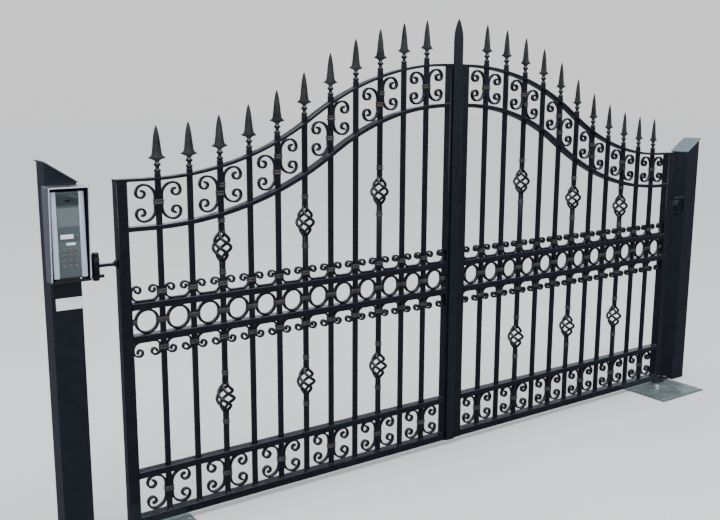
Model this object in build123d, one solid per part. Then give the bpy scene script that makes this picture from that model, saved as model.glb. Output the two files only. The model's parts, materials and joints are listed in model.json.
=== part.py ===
from build123d import *
import math
import os

os.makedirs("parts", exist_ok=True)

# Double-leaf wrought iron driveway gate. Millimetres, +Z up, X along the gate,
# -Y towards the street. The origin is on the foot of the left post.

# Stock sizes
bar = 16.0
stile = 40.0
stile_corner = 4.0
rail_depth = 40.0
rail_height = 25.0
rail_corner = 3.0
bottom_rail_height = 30.0
top_rail_thickness = 10.0
scroll_rail_thickness = 16.0
scroll_rail_corner = 2.0
strip = 6.0
strip_depth = 16.0
crest_strip = 5.0
collar_wall = 3.0
hole_fit = 0.1
ring_fit = 0.1

# Leaf layout, measured from the hinge axis and from the leaf's underside
bar_count = 11
bar_pitch = 118.0
end_pitch = 135.0
hinge_to_stile = 74.0
band_rail_top = 200.0
lower_mid_centre = 686.0
upper_mid_centre = 801.0
top_rail_low = 1236.0
swan_rise = 413.0
swan_level = 90.0
scroll_rail_offset = 166.0

# C-scrolls: each quarter turn's radius is a share of the scroll's height
scroll_height = 132.0
scroll_shares = [0.318, 0.205, 0.129, 0.106, 0.068, 0.045]
scroll_lean = 0.75
scroll_clear = 1.0
scroll_eye = 4.6

# Crest scrolls on the middle rails, in the same way
crest_height = 57.0
crest_corner_share = 0.465
crest_shares = [0.368, 0.228, 0.175, 0.149, 0.105]
crest_eye = 3.4

# Collars
collar_height = 18.0
crest_collar_height = 17.0
crest_collar_room = 1.2
beaded_profile = [(-1.0, 0.35), (-0.78, 1.1), (-0.25, 1.05), (0.0, 0.5), (0.25, 1.05), (0.78, 1.1), (1.0, 0.35)]
plain_profile = [(-1.0, 0.5), (-0.86, 1.0), (0.86, 1.0), (1.0, 0.5)]

# Twisted baskets
basket_height = 114.0
basket_diameter = 74.0
basket_strand_radius = 3.5
basket_root = 5.2
basket_turn = 200.0
basket_bow = 1.25
basket_strand_sides = 6
basket_stations = 5
basket_collar_offset = 95.0

# Spearheads: the blade is given as height, half width, edge and half thickness
spear_foot = 12.0
spear_knop_radius = 12.5
spear_neck_radius = 7.0
spear_base = 4.0
spear_knops = [(4.0, 16.0), (25.0, 37.0)]
spear_neck_top = 44.0
blade_sections = [(40.0, 6.0, 2.0, 6.0), (48.0, 19.0, 1.6, 8.4), (54.0, 31.5, 1.2, 8.5), (59.0, 22.0, 1.6, 8.4)]
blade_sections += [(66.0, 18.5, 1.6, 8.2), (119.0, 12.0, 1.5, 6.2), (145.0, 7.3, 1.2, 4.2), (163.0, 0.6, 0.4, 0.7)]

# Posts and the way the leaves hang
post = 100.0
post_wall = 5.0
post_corner = 8.0
post_floor = 10.0
post_height = 1268.0
post_slope_rise = 65.0
post_cap = 4.0
post_cap_overhang = 4.0
hinge_to_post = 52.0
gate_y = -35.0
ground_clearance = 25.0
meeting_gap = 24.0
hinge_height = 956.0
pin_radius = 8.0
pin_running_fit = 0.06
eye_radius = 13.0
eye_height = 58.0
lug_thickness = 10.0
lug_clearance = 1.0
lug_radius = 12.0
lug_reach = 16.0
bracket_back = 8.0
arm_thickness = 10.0
arm_depth = 18.0
gusset_length = 14.0
gusset_height = 30.0
spindle_radius = 12.0
heel_thickness = 12.0
heel_radius = 20.0
plate_thickness = 5.0
plate_length = 340.0
plate_front = 225.0
plate_back = 28.0
plate_past_spindle = 30.0
lid_margin = 7.0
lid_depth = 196.0
lid_rise = 3.0

# Centre cover strip
cover_width = 47.0
cover_thickness = 8.0
cover_clearance = 5.4
cover_rise = 187.0
cover_point = 96.0
cover_bulge_x = 0.74
cover_bulge_z = 0.56

# Entry panel on the left post
hood_width = 128.0
hood_height = 308.0
hood_top_depth = 76.0
hood_foot_depth = 56.0
hood_wall = 3.0
hood_below_cap = 5.0
panel_width = 104.0
panel_height = 276.0
panel_face = 54.0
panel_rail = 14.0
panel_rail_rise = 4.0
speaker_width = 68.0
speaker_height = 61.0
speaker_drop = 52.0
camera_width = 70.0
camera_height = 35.0
camera_drop = 8.0
camera_rise = 5.0
lens_radius = 11.0
key_width = 11.0
key_height = 12.0
key_rise = 4.0
key_pitch_x = 19.0
key_pitch_z = 17.5
key_drop = 186.0

# Derived positions
hang_axis = hinge_to_stile + stile / 2
first_bar = hang_axis + end_pitch
last_bar = first_bar + (bar_count - 1) * bar_pitch
meet_axis = last_bar + end_pitch
leaf_end = meet_axis + stile / 2
hang_inner = hang_axis + stile / 2
meet_inner = meet_axis - stile / 2
bars_x = [first_bar + i * bar_pitch for i in range(bar_count)]
scroll_bars = bars_x[::2]
basket_bars = bars_x[2::3]
plain_bars = [x for x in bars_x if x not in basket_bars]
left_axis = post / 2 + hinge_to_post
right_axis = left_axis + 2 * leaf_end + meeting_gap
right_post_x = right_axis + hinge_to_post + post / 2
swan_start = hang_axis + swan_level
swan_run = meet_inner - swan_start
swan_radius = (swan_run ** 2 + swan_rise ** 2) / (4 * swan_rise)
swan_angle = math.asin(swan_run / 2 / swan_radius)
lower_mid_top = lower_mid_centre + rail_height / 2
lower_mid_under = lower_mid_centre - rail_height / 2
upper_mid_top = upper_mid_centre + rail_height / 2
upper_mid_under = upper_mid_centre - rail_height / 2
band_rail_under = band_rail_top - rail_height
ring_centre = (lower_mid_top + upper_mid_under) / 2
ring_radius = (upper_mid_under - lower_mid_top - ring_fit) / 2
scroll_turns = [share * scroll_height for share in scroll_shares]
scroll_width = scroll_turns[0] + scroll_turns[1] + strip
crest_corner = crest_corner_share * crest_height
crest_turns = [share * crest_height for share in crest_shares]
crest_side = crest_height - crest_strip - crest_turns[0] - crest_corner
crest_collar_rise = crest_strip / 2 + crest_corner + crest_side / 2
post_cap_edge = post_height - post_cap - post_slope_rise / post * post_cap_overhang
hood_top = post_cap_edge - hood_below_cap
hood_bottom = hood_top - hood_height
panel_top = hood_bottom + (hood_height + panel_height) / 2


def block(x0, x1, y0, y1, z0, z1):
    box = Box(abs(x1 - x0), abs(y1 - y0), abs(z1 - z0))
    return Pos((x0 + x1) / 2, (y0 + y1) / 2, (z0 + z1) / 2) * box


def upright(radius, x, y, z0, z1):
    return Pos(x, y, (z0 + z1) / 2) * Cylinder(radius, z1 - z0)


def level_drum(radius, x, z, y0, y1):
    return Pos(x, (y0 + y1) / 2, z) * Rot(90, 0, 0) * Cylinder(radius, abs(y1 - y0))


def plate_xz(points, y0, y1):
    outline = Wire.make_polygon([Vector(x, y0, z) for x, z in points], close=True)
    return Solid.extrude(Face(outline), Vector(0, y1 - y0, 0))


def plate_yz(points, x0, x1):
    outline = Wire.make_polygon([Vector(x0, y, z) for y, z in points], close=True)
    return Solid.extrude(Face(outline), Vector(x1 - x0, 0, 0))


def rounded(piece, axis, radius):
    return fillet(piece.edges().filter_by(axis), radius)


def tangent_run(moves, x, z, heading, shift):
    # Straight runs and left turns in the XZ plane, each tangent to the last;
    # shift is the distance of this edge to the left of the strip's middle line.
    y = -strip_depth / 2
    edges = []
    for radius, amount in moves:
        if radius == 0:
            left_x, left_z = -shift * math.sin(heading), shift * math.cos(heading)
            start = Vector(x + left_x, y, z + left_z)
            x += amount * math.cos(heading)
            z += amount * math.sin(heading)
            edges.append(Edge.make_line(start, Vector(x + left_x, y, z + left_z)))
            continue
        centre_x = x - radius * math.sin(heading)
        centre_z = z + radius * math.cos(heading)
        turned = [heading, heading + amount * math.pi / 4, heading + amount * math.pi / 2]
        reach = radius - shift
        places = [Vector(centre_x + reach * math.sin(a), y, centre_z - reach * math.cos(a)) for a in turned]
        edges.append(Edge.make_three_point_arc(*places))
        heading = turned[-1]
        x = centre_x + radius * math.sin(heading)
        z = centre_z - radius * math.cos(heading)
    return edges


def curled_strip(moves, x, z, heading, thickness, eye):
    # One half of a scroll: flat strip bent along the moves, its tip forged into a round eye.
    left = tangent_run(moves, x, z, heading, thickness / 2)
    right = tangent_run(moves, x, z, heading, -thickness / 2)
    ends = [Edge.make_line(left[0] @ 0, right[0] @ 0), Edge.make_line(left[-1] @ 1, right[-1] @ 1)]
    bent = Solid.extrude(Face(Wire(left + right + ends)), Vector(0, strip_depth, 0))
    tip = (left[-1] @ 1 + right[-1] @ 1) / 2
    return bent + level_drum(eye, tip.X, tip.Z, -strip_depth / 2, strip_depth / 2)


def quarter_moves(turns):
    # Whole quarters of falling radius, then half a quarter of the last.
    return [(radius, 1.0) for radius in turns[:-1]] + [(turns[-1], 0.5)]


def c_scroll():
    # Opens towards -X; its straight back has its outer face on x = 0.
    straight = scroll_height / 2 - strip / 2 - scroll_turns[0]
    moves = [(0, straight)] + quarter_moves(scroll_turns)
    upper = curled_strip(moves, -strip / 2, 0.0, math.pi / 2, strip, scroll_eye)
    return upper + upper.mirror(Plane.XY)


def crest_scroll(width):
    # A flat U with curled ends, standing on z = 0.
    half = (width - crest_strip) / 2
    moves = [(0, half - crest_corner), (crest_corner, 1.0), (0, crest_side)] + quarter_moves(crest_turns)
    right = curled_strip(moves, 0.0, crest_strip / 2, 0.0, crest_strip, crest_eye)
    return right + right.mirror(Plane.YZ)


def ring():
    outer = level_drum(ring_radius, 0, 0, -strip_depth / 2, strip_depth / 2)
    return outer - level_drum(ring_radius - strip, 0, 0, -strip_depth, strip_depth)


def band(x0, x1, height, profile):
    # A band round whatever lies between x0 and x1, with the same profile on all four sides.
    half = strip_depth / 2
    right = [(collar_wall * thickness, rise * height / 2) for rise, thickness in profile]
    across = [(x1 + wall, z) for wall, z in right] + [(x0 - wall, z) for wall, z in right[::-1]]
    along = [(half + wall, z) for wall, z in right] + [(-half - wall, z) for wall, z in right[::-1]]
    outer = plate_xz(across, -strip_depth, strip_depth) & plate_yz(along, x0 - strip_depth, x1 + strip_depth)
    return outer - block(x0, x1, -half, half, -height, height)


def swan_z(x, offset):
    if x <= swan_start:
        return top_rail_low - offset
    if x >= swan_start + swan_run:
        return top_rail_low + swan_rise - offset
    low_radius = swan_radius + offset
    turn_x = swan_start + low_radius * math.sin(swan_angle)
    if x <= turn_x:
        rise = swan_radius - math.sqrt(low_radius ** 2 - (x - swan_start) ** 2)
        return top_rail_low + rise
    high_radius = swan_radius - offset
    reach = swan_start + swan_run - x
    drop = swan_radius - math.sqrt(high_radius ** 2 - reach ** 2)
    return top_rail_low + swan_rise - drop


def swan_edges(offset, x0, x1, y):
    low_radius = swan_radius + offset
    high_radius = swan_radius - offset
    z_low = top_rail_low - offset
    z_high = top_rail_low + swan_rise - offset
    end_x = swan_start + swan_run

    def low(angle):
        z = top_rail_low + swan_radius - low_radius * math.cos(angle)
        return Vector(swan_start + low_radius * math.sin(angle), y, z)

    def high(angle):
        z = top_rail_low + swan_rise - swan_radius + high_radius * math.cos(angle)
        return Vector(end_x - high_radius * math.sin(angle), y, z)

    last = math.asin((end_x - x1) / high_radius) if x1 < end_x else 0.0
    edges = [Edge.make_line(Vector(x0, y, z_low), Vector(swan_start, y, z_low))]
    edges.append(Edge.make_three_point_arc(low(0.0), low(swan_angle / 2), low(swan_angle)))
    middle = high((swan_angle + last) / 2)
    edges.append(Edge.make_three_point_arc(high(swan_angle), middle, high(last)))
    if x1 > end_x:
        edges.append(Edge.make_line(Vector(end_x, y, z_high), Vector(x1, y, z_high)))
    return edges


def swan_rail(offset, thickness, x0, x1):
    y = -rail_depth / 2
    upper = swan_edges(offset - thickness / 2, x0, x1, y)
    lower = swan_edges(offset + thickness / 2, x0, x1, y)
    ends = [Edge.make_line(lower[0] @ 0, upper[0] @ 0), Edge.make_line(lower[-1] @ 1, upper[-1] @ 1)]
    outline = Wire(upper + lower + ends)
    return Solid.extrude(Face(outline), Vector(0, rail_depth, 0))


def long_edges(piece):
    return [edge for edge in piece.edges() if edge.length > 2 * rail_depth]


def punch(piece, z0, z1):
    half = bar / 2 + hole_fit
    for x in bars_x:
        piece = piece - block(x - half, x + half, -half, half, z0, z1)
    return piece


def bar_top(x):
    return swan_z(x + bar / 2, -top_rail_thickness / 2) + spear_foot


def straight_rails():
    half = rail_depth / 2
    rails = [rounded(block(hang_inner, meet_inner, -half, half, 0, bottom_rail_height), Axis.X, rail_corner)]
    for z in (band_rail_under, lower_mid_under, upper_mid_under):
        rail = rounded(block(hang_inner, meet_inner, -half, half, z, z + rail_height), Axis.X, rail_corner)
        rails.append(punch(rail, z - rail_height, z + 2 * rail_height))
    return rails


def scroll_rail():
    rail = swan_rail(scroll_rail_offset, scroll_rail_thickness, hang_inner, meet_inner)
    return punch(fillet(long_edges(rail), scroll_rail_corner), 0, 2 * top_rail_low)


def top_rail():
    return punch(swan_rail(0.0, top_rail_thickness, hinge_to_stile, leaf_end), 0, 2 * top_rail_low)


def upright_stile(x0, top):
    half = rail_depth / 2
    return rounded(block(x0, x0 + stile, -half, half, 0, top), Axis.Z, stile_corner)


def basket_place(share, hand):
    # Middle of a strand, bowed out and wound round the bar's axis; share runs from -1 to 1.
    bow = basket_diameter / 2 - basket_strand_radius - basket_root
    reach = basket_root + bow * max(0.0, math.cos(math.pi / 2 * share)) ** basket_bow
    angle = math.radians(45 + hand * basket_turn / 2 * share)
    return Vector(reach * math.cos(angle), reach * math.sin(angle), share * basket_height / 2)


def basket_strand(hand):
    # Lofted through many-sided sections square to the strand, upright where it leaves the bar.
    sections = []
    for station in range(-basket_stations, basket_stations + 1):
        share = station / basket_stations
        place = basket_place(share, hand)
        along = Vector(0, 0, 1)
        if abs(station) < basket_stations:
            along = basket_place(share + 0.01, hand) - basket_place(share - 0.01, hand)
        outward = Vector(place.X, place.Y, 0)
        across = outward.cross(along)
        section = Plane(origin=place, x_dir=across, z_dir=along)
        sections.append(section * RegularPolygon(basket_strand_radius, basket_strand_sides))
    return loft(sections)


def basket_centres(x):
    low = (band_rail_top + lower_mid_under - crest_height) / 2
    rail_under = swan_z(x, scroll_rail_offset + scroll_rail_thickness / 2)
    high = (upper_mid_top + crest_height + rail_under) / 2
    return low, high


def basket_bar(x, strand):
    low, high = basket_centres(x)
    half = bar / 2
    gap = basket_height / 2
    cuts = [bottom_rail_height, low - gap, low + gap, high - gap, high + gap, bar_top(x)]
    pieces = [block(x - half, x + half, -half, half, cuts[i], cuts[i + 1]) for i in (0, 2, 4)]
    for z in (low, high):
        pieces += [Pos(x, 0, z) * Rot(0, 0, 90 * i) * strand for i in range(4)]
    return pieces[0].fuse(*pieces[1:])


def neck_profile():
    # Half outline of the turned neck with its two round knops.
    foot = Vector(0, 0, spear_base)
    at = Vector(spear_neck_radius, 0, spear_base)
    edges = [Edge.make_line(foot, at)]
    for low, high in spear_knops:
        start = Vector(spear_neck_radius, 0, low)
        if low > at.Z:
            edges.append(Edge.make_line(at, start))
        at = Vector(spear_neck_radius, 0, high)
        edges.append(Edge.make_three_point_arc(start, Vector(spear_knop_radius, 0, (low + high) / 2), at))
    rim = Vector(spear_neck_radius, 0, spear_neck_top)
    top = Vector(0, 0, spear_neck_top)
    edges += [Edge.make_line(at, rim), Edge.make_line(rim, top), Edge.make_line(top, foot)]
    return Face(Wire(edges))


def blade_section(z, half_width, edge, half_thickness):
    # Flat forged blade: square edges and a ridge down the middle of each face.
    corners = [(half_width, -edge), (half_width, edge), (0, half_thickness)]
    corners += [(-half_width, edge), (-half_width, -edge), (0, -half_thickness)]
    return Face(Wire.make_polygon([Vector(x, y, z) for x, y in corners], close=True))


def spearhead():
    half = bar / 2
    foot = block(-half, half, -half, half, 0, spear_base)
    neck = revolve(neck_profile(), Axis.Z, 360)
    blade = loft([blade_section(*section) for section in blade_sections], ruled=True)
    return foot + neck + blade


def scroll_mid(x_back, side):
    # The scroll sits midway between the rails where its open side reaches them.
    x = x_back + side * scroll_lean * scroll_width
    return (swan_z(x, top_rail_thickness / 2) + swan_z(x, scroll_rail_offset - scroll_rail_thickness / 2)) / 2


def scroll_pairs(middle):
    # One scroll on each side of every second bar; middle gives each one's height.
    opens_left = c_scroll()
    opens_right = opens_left.mirror(Plane.YZ)
    pairs = []
    for x in scroll_bars:
        pairs.append(Pos(x - bar / 2, 0, middle(x - bar / 2, -1)) * opens_left)
        pairs.append(Pos(x + bar / 2, 0, middle(x + bar / 2, 1)) * opens_right)
    return pairs


def bottom_scroll_mid(x_back, side):
    return band_rail_under - scroll_height / 2 - scroll_clear


def crest_scrolls():
    # Each gap between uprights has one on the upper middle rail and one under the lower.
    ends = [hang_inner] + [edge for x in bars_x for edge in (x - bar / 2, x + bar / 2)] + [meet_inner]
    found = []
    shapes = {}
    for x0, x1 in zip(ends[::2], ends[1::2]):
        width = round(x1 - x0, 3)
        if width not in shapes:
            shapes[width] = crest_scroll(width)
        middle = (x0 + x1) / 2
        found.append(Pos(middle, 0, upper_mid_top) * shapes[width])
        found.append(Pos(middle, 0, lower_mid_under) * shapes[width].mirror(Plane.XY))
    return found


def ring_places():
    half_pitch = bar_pitch / 2
    return [first_bar - half_pitch] + [x + half_pitch for x in bars_x]


def ring_hole_half():
    # Half the ring's hole at the height of a clasp's edge, where the hole is narrowest.
    return math.sqrt((ring_radius - strip) ** 2 - (collar_height / 2) ** 2)


def ring_clasps():
    reach = bar_pitch / 2 - ring_hole_half() + hole_fit
    clasp = band(-reach, reach, collar_height, plain_profile)
    return [Pos(x, 0, ring_centre) * clasp for x in bars_x]


def ring_clip():
    # Half a clasp for the ring beside a stile: its two legs end on the stile's face, at x = 0.
    gap = first_bar - bar_pitch / 2 - hang_inner
    reach = gap - ring_hole_half() + hole_fit
    whole = band(-reach, reach, collar_height, plain_profile)
    return whole - block(-2 * reach, 0, -strip_depth, strip_depth, -collar_height, collar_height)


def scroll_collars():
    # One collar where both scrolls' backs lie side by side, or else one round each back,
    # open on the far side where the other scroll is still too near the bar.
    half = bar / 2
    both = band(-half - strip, half + strip, collar_height, beaded_profile)
    closed = band(-half, half + strip, collar_height, beaded_profile)
    far_side = block(-half - strip_depth, -half, -strip_depth, strip_depth, -collar_height, collar_height)
    shapes = {True: closed - far_side, False: closed}
    found = []
    for x in scroll_bars:
        low = scroll_mid(x - half, -1)
        high = scroll_mid(x + half, 1)
        if high - low <= collar_height + strip:
            found.append(Pos(x, 0, (low + high) / 2) * both)
        else:
            collar = shapes[high - low < scroll_turns[0] + collar_height / 2]
            found.append(Pos(x, 0, low) * collar.mirror(Plane.YZ))
            found.append(Pos(x, 0, high) * collar)
        found.append(Pos(x, 0, bottom_scroll_mid(x, 0)) * both)
    return found


def crest_collars():
    reach = bar / 2 + crest_strip + crest_collar_room
    collar = band(-reach, reach, crest_collar_height, beaded_profile)
    heights = (upper_mid_top + crest_collar_rise, lower_mid_under - crest_collar_rise)
    return [Pos(x, 0, z) * collar for x in bars_x for z in heights]


def basket_collars():
    collar = band(-bar / 2, bar / 2, collar_height, beaded_profile)
    found = []
    for x in basket_bars:
        for centre in basket_centres(x):
            found.append(Pos(x, 0, centre - basket_collar_offset) * collar)
            found.append(Pos(x, 0, centre + basket_collar_offset) * collar)
    return found


def collars():
    clip = ring_clip()
    clips = [Pos(hang_inner, 0, ring_centre) * clip, Pos(meet_inner, 0, ring_centre) * clip.mirror(Plane.YZ)]
    return ring_clasps() + clips + scroll_collars() + crest_collars() + basket_collars()


def hinge_eye():
    z = hinge_height
    half = arm_thickness / 2
    eye = upright(eye_radius, 0, 0, z - eye_height / 2, z + eye_height / 2)
    arm = block(0, hinge_to_stile, -arm_depth / 2, arm_depth / 2, z - half, z + half)
    root = hinge_to_stile - gusset_length
    gusset = [(root, z - half), (hinge_to_stile, z - gusset_height / 2)]
    gusset += [(hinge_to_stile, z + gusset_height / 2), (root, z + half)]
    bore = upright(pin_radius + pin_running_fit, 0, 0, z - eye_height, z + eye_height)
    return eye + arm + plate_xz(gusset, -arm_depth / 2, arm_depth / 2) - bore


def heel_arm():
    # Flat bar under the leaf, rounded about the spindle that carries it.
    arm = block(0, hang_inner, -heel_radius, heel_radius, -heel_thickness, 0)
    arm = arm + upright(heel_radius, 0, 0, -heel_thickness, 0)
    return arm - upright(spindle_radius + pin_running_fit, 0, 0, -2 * heel_thickness, heel_thickness)


def hinge_bracket(x, side):
    # side is the way from the post towards its leaf; the lower lug reaches past the pin.
    z = hinge_height + ground_clearance
    low = z - eye_height / 2 - lug_clearance - lug_thickness
    high = z + eye_height / 2 + lug_clearance + lug_thickness
    face = x - side * hinge_to_post
    body = block(face, face + side * bracket_back, gate_y - lug_radius / 2, gate_y + 2 * lug_radius, low, high)
    for z0, reach in ((low, side * lug_reach), (high - lug_thickness, 0)):
        z1 = z0 + lug_thickness
        body = body + block(face, x + reach, gate_y - lug_radius, gate_y + lug_radius, z0, z1)
        body = body + upright(lug_radius, x + reach, gate_y, z0, z1)
    return body + upright(pin_radius, x, gate_y, low, high)


def operator_plate(x, side):
    # Cover frame in the ground with a raised lid, and the spindle that turns the leaf's heel.
    x0 = x - side * plate_past_spindle
    x1 = x0 + side * plate_length
    y0 = gate_y - plate_front
    body = block(x0, x1, y0, gate_y + plate_back, 0, plate_thickness)
    lid_x = (x0 + side * lid_margin, x1 - side * lid_margin)
    top = plate_thickness + lid_rise
    body = body + block(*lid_x, y0 + lid_margin, y0 + lid_margin + lid_depth, plate_thickness, top)
    shoulder = ground_clearance - heel_thickness - lug_clearance
    body = body + upright(spindle_radius + strip, x, gate_y, 0, shoulder)
    return body + upright(spindle_radius, x, gate_y, 0, ground_clearance - lug_clearance)


def post_box(x, side):
    # Hollow post with a closed foot; the top falls towards the leaf.
    half = post / 2
    low = post_height - post_cap
    high = low + post_slope_rise
    outline = [(x - side * half, 0), (x + side * half, 0), (x + side * half, low), (x - side * half, high)]
    outer = rounded(plate_xz(outline, -half, half), Axis.Z, post_corner)
    inner = half - post_wall
    slope = post_slope_rise / post
    near = low + slope * post_wall - post_wall
    far = low + slope * (post - post_wall) - post_wall
    hollow = [(x - side * inner, post_floor), (x + side * inner, post_floor)]
    hollow += [(x + side * inner, near), (x - side * inner, far)]
    return outer - rounded(plate_xz(hollow, -inner, inner), Axis.Z, post_corner - post_wall)


def post_lid(x, side):
    half = post / 2
    slope = post_slope_rise / post
    reach = half + post_cap_overhang
    low = post_height - post_cap - slope * post_cap_overhang
    high = post_height - post_cap + slope * (post + post_cap_overhang)
    outline = [(x + side * reach, low), (x - side * reach, high)]
    outline += [(x - side * reach, high + post_cap), (x + side * reach, low + post_cap)]
    return plate_xz(outline, -reach, reach)


def cover_strip():
    # Flat strip with a lancet head, welded on the face of the meeting stile.
    x1 = leaf_end + meeting_gap - cover_clearance
    x0 = x1 - cover_width
    middle = (x0 + x1) / 2
    top = top_rail_low + swan_rise + cover_rise
    shoulder = top - cover_point
    y = -rail_depth / 2 - cover_thickness

    def at(share_x, share_z):
        return Vector(middle + share_x * cover_width / 2, y, shoulder + share_z * cover_point)

    edges = [Edge.make_line(Vector(x0, y, 0), Vector(x1, y, 0)), Edge.make_line(Vector(x1, y, 0), at(1, 0))]
    edges.append(Edge.make_three_point_arc(at(1, 0), at(cover_bulge_x, cover_bulge_z), at(0, 1)))
    edges.append(Edge.make_three_point_arc(at(0, 1), at(-cover_bulge_x, cover_bulge_z), at(-1, 0)))
    edges.append(Edge.make_line(at(-1, 0), Vector(x0, y, 0)))
    return Solid.extrude(Face(Wire(edges)), Vector(0, cover_thickness, 0))


def intercom_hood():
    # Folded steel hood, open at the front, deeper at its top than at its foot.
    front = -post / 2
    half = hood_width / 2
    w = hood_wall
    side = [(front, hood_bottom), (front - hood_foot_depth, hood_bottom)]
    side += [(front - hood_top_depth, hood_top), (front, hood_top)]
    past = front - 2 * hood_top_depth
    room = [(front - w, hood_bottom + w), (past, hood_bottom + w), (past, hood_top - w), (front - w, hood_top - w)]
    return plate_yz(side, -half, half) - plate_yz(room, -half + w, half - w)


def intercom_panel():
    # Extruded panel with a half-round rail down each side and a raised speaker plate.
    back = -post / 2 - hood_wall
    face = -post / 2 - panel_face
    half = panel_width / 2
    low = panel_top - panel_height
    panel = rounded(block(-half, half, face, back, low, panel_top), Axis.Z, panel_rail_rise / 2)
    seat = face + panel_rail_rise
    field = half - panel_rail
    panel = panel - block(-field, field, face - panel_rail_rise, seat, low - panel_rail, panel_top + panel_rail)
    rims = [edge for edge in panel.edges().filter_by(Axis.Z) if edge.center().Y < face + 0.1]
    panel = fillet(rims, panel_rail_rise - 0.5)
    top = panel_top - speaker_drop
    speaker = block(-speaker_width / 2, speaker_width / 2, seat - panel_rail_rise / 2, seat, top - speaker_height, top)
    return panel + speaker


def intercom_camera():
    seat = -post / 2 - panel_face + panel_rail_rise
    top = panel_top - camera_drop
    half = camera_width / 2
    plate = rounded(block(-half, half, seat - camera_rise, seat, top - camera_height, top), Axis.Y, camera_rise / 2)
    return plate + level_drum(lens_radius, 0, top - camera_height / 2, seat - camera_rise - strip / 2, seat)


def intercom_keys():
    seat = -post / 2 - panel_face + panel_rail_rise
    wide, high = key_width / 2, key_height / 2
    keys = []
    for row in range(4):
        for column in (-1, 0, 1):
            x = column * key_pitch_x
            z = panel_top - key_drop - row * key_pitch_z
            keys.append(block(x - wide, x + wide, seat - key_rise, seat, z - high, z + high))
    return keys


def leaf():
    top_under = top_rail_low - top_rail_thickness / 2
    half = bar / 2
    spear = spearhead()
    circle = ring()
    return {
        "hanging_stile": [upright_stile(hinge_to_stile, top_under)],
        "meeting_stile": [upright_stile(meet_inner, top_under + swan_rise)],
        "top_rail": [top_rail()],
        "scroll_rail": [scroll_rail()],
        "straight_rails": straight_rails(),
        "bars": [block(x - half, x + half, -half, half, bottom_rail_height, bar_top(x)) for x in plain_bars],
        "spearheads": [Pos(x, 0, bar_top(x)) * spear for x in bars_x],
        "top_scrolls": scroll_pairs(scroll_mid),
        "bottom_scrolls": scroll_pairs(bottom_scroll_mid),
        "rings": [Pos(x, 0, ring_centre) * circle for x in ring_places()],
        "crest_scrolls": crest_scrolls(),
        "collars": collars(),
        "hinge_eye": [hinge_eye()],
        "heel_arm": [heel_arm()],
    }


def save(name, solids):
    shape = solids[0] if len(solids) == 1 else Compound(children=list(solids))
    export_step(shape, "parts/" + name + ".step")


def place(shape, x, mirrored):
    if mirrored:
        shape = shape.mirror(Plane.YZ)
    return Pos(x, gate_y, ground_clearance) * shape


pieces = leaf()
for side, axis_x, mirrored in (("left", left_axis, False), ("right", right_axis, True)):
    # The baskets on both leaves wind the same way, so the right leaf's aren't mirror images.
    strand = basket_strand(1 if mirrored else -1)
    pieces["basket_bars"] = [basket_bar(x, strand) for x in basket_bars]
    for name, solids in pieces.items():
        save(side + "_" + name, [place(solid, axis_x, mirrored) for solid in solids])
save("cover_strip", [place(cover_strip(), left_axis, False)])
for side, post_x, axis_x, way in (("left", 0.0, left_axis, 1), ("right", right_post_x, right_axis, -1)):
    save(side + "_post", [post_box(post_x, way)])
    save(side + "_post_cap", [post_lid(post_x, way)])
    save(side + "_hinge_bracket", [hinge_bracket(axis_x, way)])
    save(side + "_operator_plate", [operator_plate(axis_x, way)])
save("intercom_hood", [intercom_hood()])
save("intercom_panel", [intercom_panel()])
save("intercom_camera", [intercom_camera()])
save("intercom_keypad", intercom_keys())
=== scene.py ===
import json
import math

import bmesh
import bpy
from mathutils import Matrix, Vector


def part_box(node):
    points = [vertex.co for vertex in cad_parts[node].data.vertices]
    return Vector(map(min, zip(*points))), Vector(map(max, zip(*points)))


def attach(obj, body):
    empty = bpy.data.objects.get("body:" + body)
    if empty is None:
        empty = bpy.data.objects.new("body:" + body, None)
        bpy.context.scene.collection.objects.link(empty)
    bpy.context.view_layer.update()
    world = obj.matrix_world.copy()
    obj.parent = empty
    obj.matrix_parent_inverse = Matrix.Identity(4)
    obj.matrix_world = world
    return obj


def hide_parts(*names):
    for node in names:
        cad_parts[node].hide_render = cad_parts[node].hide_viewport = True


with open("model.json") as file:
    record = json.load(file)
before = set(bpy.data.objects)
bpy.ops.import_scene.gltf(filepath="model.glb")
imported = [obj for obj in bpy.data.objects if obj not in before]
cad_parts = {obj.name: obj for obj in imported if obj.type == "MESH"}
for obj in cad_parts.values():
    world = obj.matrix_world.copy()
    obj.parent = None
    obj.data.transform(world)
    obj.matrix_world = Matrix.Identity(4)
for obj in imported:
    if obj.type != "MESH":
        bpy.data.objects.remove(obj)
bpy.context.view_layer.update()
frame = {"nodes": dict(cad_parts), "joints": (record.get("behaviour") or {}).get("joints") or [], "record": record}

mm = 0.001
street = (0, -1, 0)
upward = (0, 0, 1)
downward = (0, 0, -1)

# Stock sizes of a leaf; the frame's bars are a little thinner than the forged ones here
bar = 18 * mm
frame_bar = 16 * mm
stile = 40 * mm
strip = 6 * mm
crest_strip = 5 * mm
forged_strip = 7.4 * mm
forged_crest = 6.6 * mm
forged_ring = 8.4 * mm
strip_depth = 16 * mm
bar_corner = 1.6 * mm
strip_corner = 1.3 * mm
rail_height = 25 * mm
top_rail_thickness = 10 * mm
scroll_rail_thickness = 16 * mm

# Layout of a leaf, measured from its hinge axis and underside
hang_axis = 94 * mm
end_pitch = 135 * mm
bar_pitch = 118 * mm
bar_count = 11
bottom_rail_top = 30 * mm
band_rail_under = 175 * mm
band_rail_top = band_rail_under + rail_height
lower_mid_under = 673.5 * mm
lower_mid_top = lower_mid_under + rail_height
ring_radius = 45 * mm
ring_centre = lower_mid_top + ring_radius
upper_mid_under = ring_centre + ring_radius
upper_mid_top = upper_mid_under + rail_height
top_rail_low = 1236 * mm
scroll_rail_offset = 166 * mm
swan_rise = 413 * mm
swan_level = 90 * mm
spear_foot = 12 * mm

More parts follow.
